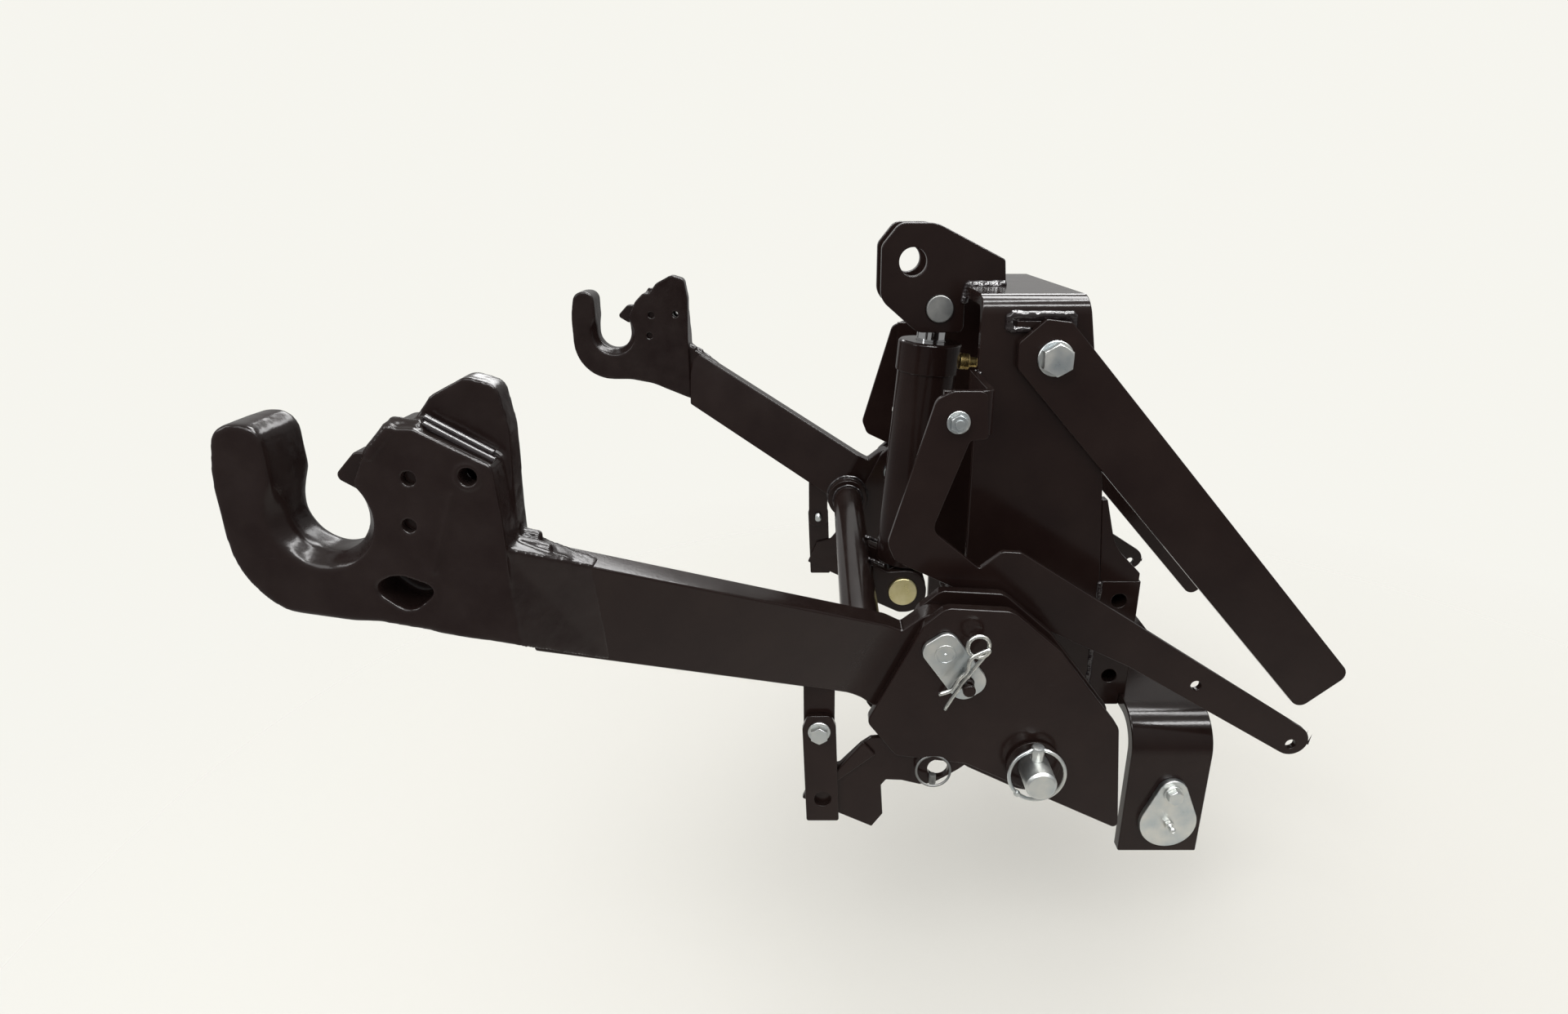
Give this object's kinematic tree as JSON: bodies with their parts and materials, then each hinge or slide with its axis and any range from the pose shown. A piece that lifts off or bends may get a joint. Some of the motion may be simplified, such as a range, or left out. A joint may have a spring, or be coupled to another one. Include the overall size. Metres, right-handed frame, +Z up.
{
  "type": "front three-point linkage",
  "caption": "Front three-point linkage for a compact tractor, with a central lift cylinder, splayed lower links, catch hooks and top link lugs.",
  "frame": {"origin": "centre of the mounting block's rear face", "axes": "+X back to the tractor, out of the block's rear face; +Y to the right of the driver, along the pins; +Z up"},
  "size_m": [0.8401, 0.768, 0.58],
  "materials": {
    "black_paint": "semi-gloss black-brown powder coat over welded plate",
    "zinc": "blue-white zinc plate",
    "pin_steel": "bright turned steel with a yellow passivate",
    "brass": "machined brass"
  },
  "bodies": {
    "frame": {"frame_channel": "black_paint", "mounting_block": "black_paint", "back_rib_left": "black_paint", "back_rib_right": "black_paint", "top_link_lug_left": "black_paint", "top_link_lug_right": "black_paint", "saddle_strap": "black_paint", "saddle_pin_left": "zinc", "saddle_pin_right": "zinc", "keeper_bolts": "zinc", "grease_nipples": "zinc", "brace_left": "black_paint", "brace_right": "black_paint", "brace_bolts": "zinc", "brace_nuts": "zinc", "side_stay_left": "black_paint", "side_stay_right": "black_paint", "stay_tab_left": "black_paint", "stay_tab_right": "black_paint", "stay_bolts": "zinc", "pivot_tube": "black_paint", "pivot_shaft": "zinc", "pivot_washers": "zinc", "lynch_pin_left": "zinc", "lynch_pin_right": "zinc", "cylinder_top_pin": "zinc"},
    "rocker": {"cheek_outer_left": "black_paint", "cheek_outer_right": "black_paint", "cheek_inner_left": "black_paint", "cheek_inner_right": "black_paint", "cheek_spacers": "black_paint", "cross_tube": "black_paint", "tube_collars": "black_paint", "cylinder_lug_left": "black_paint", "cylinder_lug_right": "black_paint", "cylinder_base_pin": "pin_steel", "cylinder_base_eye": "black_paint", "flag_pin_left": "zinc", "flag_pin_right": "zinc", "flag_studs": "zinc", "spring_clip_left": "zinc", "spring_clip_right": "zinc", "lift_arm_left": "black_paint", "lift_arm_right": "black_paint", "hook_left": "black_paint", "hook_right": "black_paint", "latch_pins": "zinc", "bracket_tabs": "black_paint", "arm_bracket_left": "black_paint", "arm_bracket_right": "black_paint", "bracket_bolts": "zinc"},
    "rod": {"piston_rod": "zinc", "piston": "pin_steel"},
    "barrel": {"cylinder_barrel": "black_paint", "cylinder_gland": "black_paint", "hydraulic_port": "brass"},
    "latch_left": {"hook_latch_left": "black_paint"},
    "latch_right": {"hook_latch_right": "black_paint"}
  },
  "joints": [
    {"name": "lower_links", "type": "hinge", "parent": "frame", "child": "rocker", "pos_m": [-0.124, 0, -0.041], "axis": [0, -1, 0], "range_deg": [0, 55]},
    {"name": "cylinder_swing", "type": "hinge", "parent": "frame", "child": "rod", "pos_m": [-0.186, 0, 0.297], "axis": [0, -1, 0], "range_deg": [0, 0.749]},
    {"name": "cylinder_stroke", "type": "slide", "parent": "rod", "child": "barrel", "axis": [-0.0825, 0, -0.9966], "range_m": [0, 0.0911]},
    {"name": "latch_left_slide", "type": "slide", "parent": "rocker", "child": "latch_left", "axis": [1, 0, 0], "range_m": [0, 0.018], "stiffness_N_per_m": 1500, "springref_m": -0.004},
    {"name": "latch_right_slide", "type": "slide", "parent": "rocker", "child": "latch_right", "axis": [1, 0, 0], "range_m": [0, 0.018], "stiffness_N_per_m": 1500, "springref_m": -0.004}
  ],
  "couplings": [
    {"joint": "cylinder_swing", "follows": "lower_links", "ratio": 0.013261},
    {"joint": "cylinder_stroke", "follows": "lower_links", "m_per_rad": 0.094647}
  ]
}
